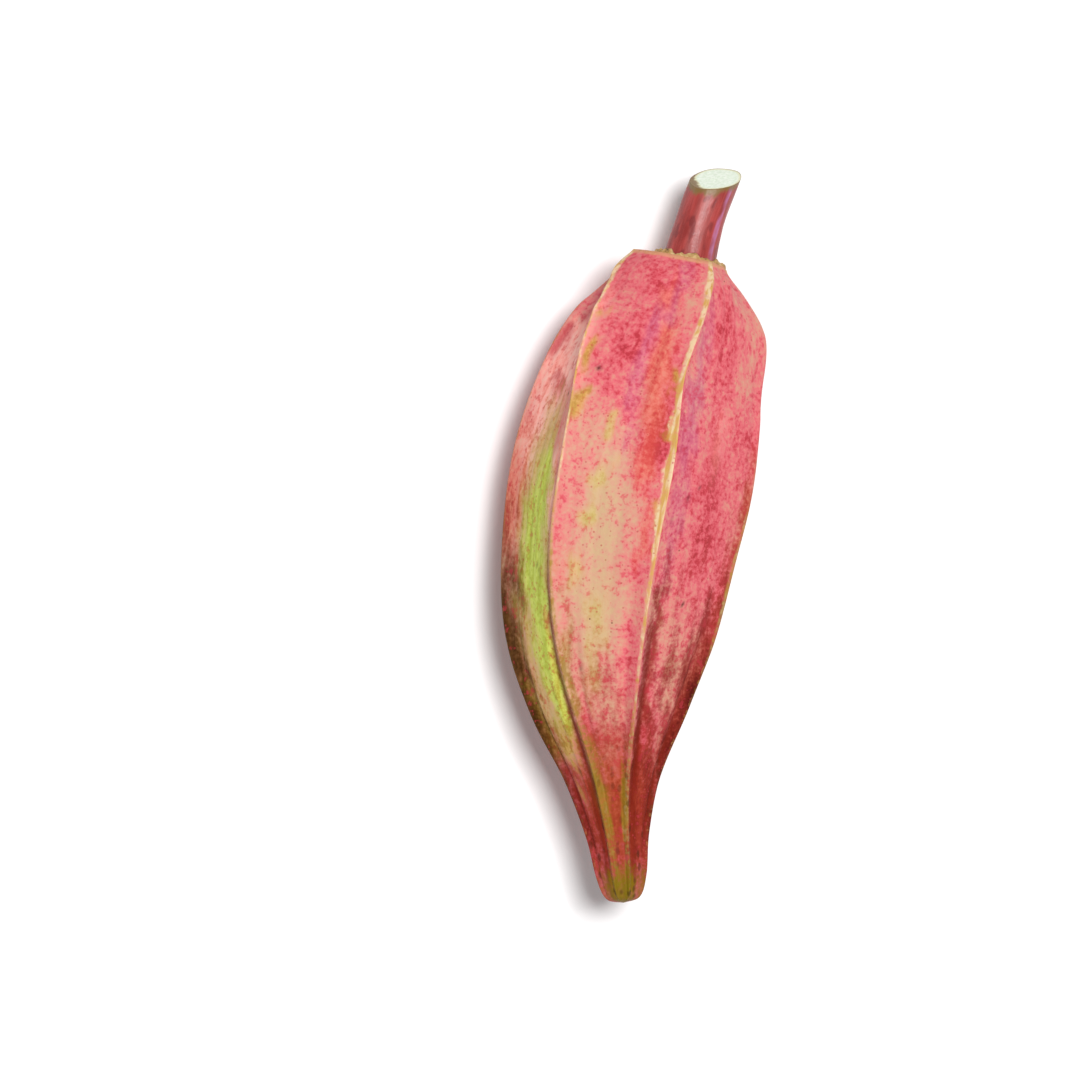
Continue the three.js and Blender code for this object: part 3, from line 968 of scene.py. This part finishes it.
def make_stem():
    """The stalk, bent from the pod's top to its own lean, with a slanting cut face."""
    centre, forward, _, _ = axis.frames(POD_LENGTH + PIECE_GAP)
    lean = math.radians(STEM_LEAN)
    end = centre + np.array([math.sin(lean), math.cos(lean), 0]) * STEM_LENGTH
    bend = centre + forward * STEM_BEND
    t = np.linspace(0, 1, STEM_LINE_STEPS)[:, None]
    line = MiddleLine((1 - t) ** 2 * centre + 2 * t * (1 - t) * bend + t**2 * end, STEM_LENGTH)

    angle = np.arange(STEM_COLUMNS) / STEM_COLUMNS * 2 * math.pi
    side_share = np.linspace(STEM_START, 1, STEM_STATIONS)[:, None]
    distance = side_share * STEM_LENGTH
    flare = np.interp(distance, *zip(*STEM_FLARE))
    # Five soft ridges that wind a little, and a finer unevenness
    uneven = 0.05 * np.cos(5 * angle + 0.12 * distance) + 0.04 * ripples(distance, angle, 21, 8, 9)
    side_radius = flare + uneven - BARK_INSET
    rim_radius = side_radius[-1]
    slope = CUT_SIDE_SLOPE * np.sin(angle) - CUT_FACE_SLOPE * np.cos(angle)
    side_along = side_share * (STEM_LENGTH + rim_radius * slope)
    face_share = np.array(CUT_RINGS)[:, None]
    face_radius = rim_radius * face_share
    bumps = 0.06 * ripples(face_radius, angle, 25, 4, 5) * (1 - face_share)
    face_along = STEM_LENGTH + face_radius * slope + bumps - CUT_SINK

    def whole(side, face):
        """Values on the side and on the cut face, as one array for all the stalk's rings."""
        return np.vstack([side + 0 * side_radius, face + 0 * face_radius])

    points = line.around(whole(side_along, face_along), whole(side_radius, face_radius), whole(angle, angle))
    stem = ring_mesh("cut_stalk", points)
    # The bark laps over the face's left edge
    pith_share = 0.99 - LAP_SHARE * bell(turned(angle, LAP_ANGLE), LAP_HALF_ANGLE)
    reach = face_share / pith_share
    paint(stem, "face", whole(0, 1 - smooth(0.97, 1.03, reach)), (0, 1))
    paint(stem, "from_centre", whole(1, reach), (1, 0))
    paint(stem, "along", whole(side_share, 1), (0, 1))
    # How far round the bark faces the line of painted highlight, and how far it faces straight up, where it
    # is painted paler as painted light
    paint(stem, "painted_highlight_side", whole(np.cos(angle - math.radians(PAINTED_HIGHLIGHT_ANGLE)), 0), (0, 0))
    paint(stem, "painted_light_top_side", whole(np.cos(angle), 0), (0, 0))
    notch = bell(turned(angle, NOTCH_ANGLE), NOTCH_HALF_ANGLE) * smooth(*NOTCH_START, side_share)
    paint(stem, "notch", whole(notch, 0), (0, 0))
    grain_radius = whole(GRAIN_RADIUS, face_radius)
    grain_along = whole(distance, CUT_GRAIN_PLACE)
    straight = np.stack([grain_radius * np.sin(angle), grain_along, grain_radius * np.cos(angle)], axis=-1)
    ends = [[0, -1, 0], [0, CUT_GRAIN_PLACE, 0]]
    paint_vector(stem, "straight", np.vstack([straight.reshape(-1, 3), ends]) * MM)
    stem.data.materials.append(stem_material())
    return stem


def stem_material():
    """Rose-red bark with darker streaks, a violet line of painted highlight and an upper side painted paler
    as painted light, and a pale pith face.
    """
    shader = Shader("stalk_bark")
    straight = shader.vector_attribute("straight")
    streak = shader.noise(shader.stretch(straight, (1.0, 0.12, 1.0)), 0.9, 4.0, 0.6)
    grain = shader.noise(straight, 0.5, 3.0, 0.6)
    blotch = shader.noise(shader.stretch(straight, (1.0, 0.35, 1.0)), 1.8, 2.0)
    base = shader.blend(shader.ramp(streak, 0.35, 0.65), "8c2622", "ac3e3a")
    # Upper side of the bark painted paler: painted light
    base = shader.cover(base, shader.ramp(shader.attribute("painted_light_top_side"), 0.9, 1.0), 0.25, "b6706c")
    base = shader.cover(base, shader.ramp(blotch, 0.52, 0.62), 0.65, "6f1d1f")
    # Violet line of painted highlight down the bark
    painted_highlight_line = shader.sum((shader.attribute("painted_highlight_side"), 1.0), (streak, 0.012))
    base = shader.cover(base, shader.ramp(painted_highlight_line, 0.994, 1.006), shader.ramp(blotch, 0.2, 0.6), "ba80b4")
    under_cut = shader.ramp(shader.sum((shader.attribute("along"), 1.0), (streak, 0.22)), 1.0, 1.09)
    base = shader.cover(base, under_cut, 0.85, "75642e")
    notch = shader.broken(shader.attribute("notch"), streak, 1.5, 0.3)
    base = shader.cover(base, notch, 0.7, "7a5a26")
    pith = shader.blend(shader.ramp(grain, 0.35, 0.65), "e9f0e2", "d6e3cd")
    edge = shader.ramp(shader.attribute("from_centre"), 0.86, 0.97)
    pith = shader.cover(pith, edge, 0.75, "ddd9a8")
    base = shader.blend(shader.attribute("face"), base, pith)
    roughness = shader.sum((grain, 0.25), (0.34, 1.0))
    height = shader.sum((streak, 0.7), (grain, 0.3))
    return shader.finish(base, roughness, height, 0.15, Coat_Weight=0.1, Coat_Roughness=0.35)


def settle(pieces, cad_node):
    """Moves the pieces' vertices together, so that the first one lies over its CAD node."""
    low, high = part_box(cad_node)
    corners = np.array([vertex.co for vertex in pieces[0].data.vertices])
    middle = (corners.min(axis=0) + corners.max(axis=0)) / 2
    shift = Vector(((low[0] + high[0]) / 2 - middle[0], (low[1] + high[1]) / 2 - middle[1], 0))
    for piece in pieces:
        for vertex in piece.data.vertices:
            vertex.co += shift


# In metres and watts: half the width of the floor; place, edge length and power of the light.
# SURROUND_STRENGTH is how bright the white surround is.
FLOOR_HALF = 1.5
LIGHT_PLACE = (0.2, 0.14, 1.25)
LIGHT_SIZE = 0.28
LIGHT_POWER = 15.0
SURROUND_STRENGTH = 0.36


def make_floor():
    """Pale surface that the pod lies on, a wide flat sheet of slightly uneven tone."""
    mesh = bpy.data.meshes.new("floor")
    corners = [(x * FLOOR_HALF, y * FLOOR_HALF, 0) for x, y in ((-1, -1), (1, -1), (1, 1), (-1, 1))]
    mesh.from_pydata(corners, [], [(0, 1, 2, 3)])
    floor = bpy.data.objects.new("floor", mesh)
    bpy.context.collection.objects.link(floor)
    shader = Shader("pale_surface")
    tone = shader.noise(shader.place(), 60.0, 2.0)
    floor.data.materials.append(shader.finish(shader.blend(tone, "f4f4f4", "f8f8f8"), 0.9))


def make_studio():
    """Soft light from above and the upper right, as in the photograph, with an even white surround."""
    make_floor()
    light = bpy.data.lights.new("key", "AREA")
    light.size = LIGHT_SIZE
    light.energy = LIGHT_POWER
    lamp = bpy.data.objects.new("key", light)
    lamp.location = LIGHT_PLACE
    lamp.rotation_euler = (-Vector(LIGHT_PLACE)).to_track_quat("-Z", "Y").to_euler()
    bpy.context.collection.objects.link(lamp)
    world = bpy.data.worlds.new("studio")
    world.use_nodes = True
    background = world.node_tree.nodes["Background"]
    background.inputs["Color"].default_value = (1, 1, 1, 1)
    background.inputs["Strength"].default_value = SURROUND_STRENGTH
    bpy.context.scene.world = world
    bpy.context.scene.view_settings.view_transform = "Standard"


# The photograph looks straight down. It is PHOTO_SIZE pixels wide, at PHOTO_SCALE pixels per millimetre
# at the height of the pod's outline, and its middle lies left of the pod.
PHOTO_SIZE = 1080
PHOTO_SCALE = 6.5
PHOTO_MIDDLE = (-14.4, -0.9)
CAMERA_HEIGHT = 900
SENSOR_WIDTH = 36
CLIP_END_METRES = 10


def make_camera():
    """Looks straight down at the same frame as the photograph."""
    data = bpy.data.cameras.new("camera")
    data.sensor_width = SENSOR_WIDTH
    data.lens = SENSOR_WIDTH * CAMERA_HEIGHT * PHOTO_SCALE / PHOTO_SIZE
    data.clip_end = CLIP_END_METRES
    camera = bpy.data.objects.new("camera", data)
    camera.location = Vector((*PHOTO_MIDDLE, AXIS_HEIGHT + CAMERA_HEIGHT)) * MM
    bpy.context.collection.objects.link(camera)
    bpy.context.scene.camera = camera


make_camera()
pod = make_pod()
scar = make_scar()
stem = make_stem()
settle([pod, scar, stem], "pod")
for piece, node, slot in (
    (pod, "pod", "pod_skin"),
    (scar, "calyx_scar", "calyx_scar"),
    (stem, "stem", "stem_skin"),
):
    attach(piece, "root")
    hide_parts(node)
make_studio()
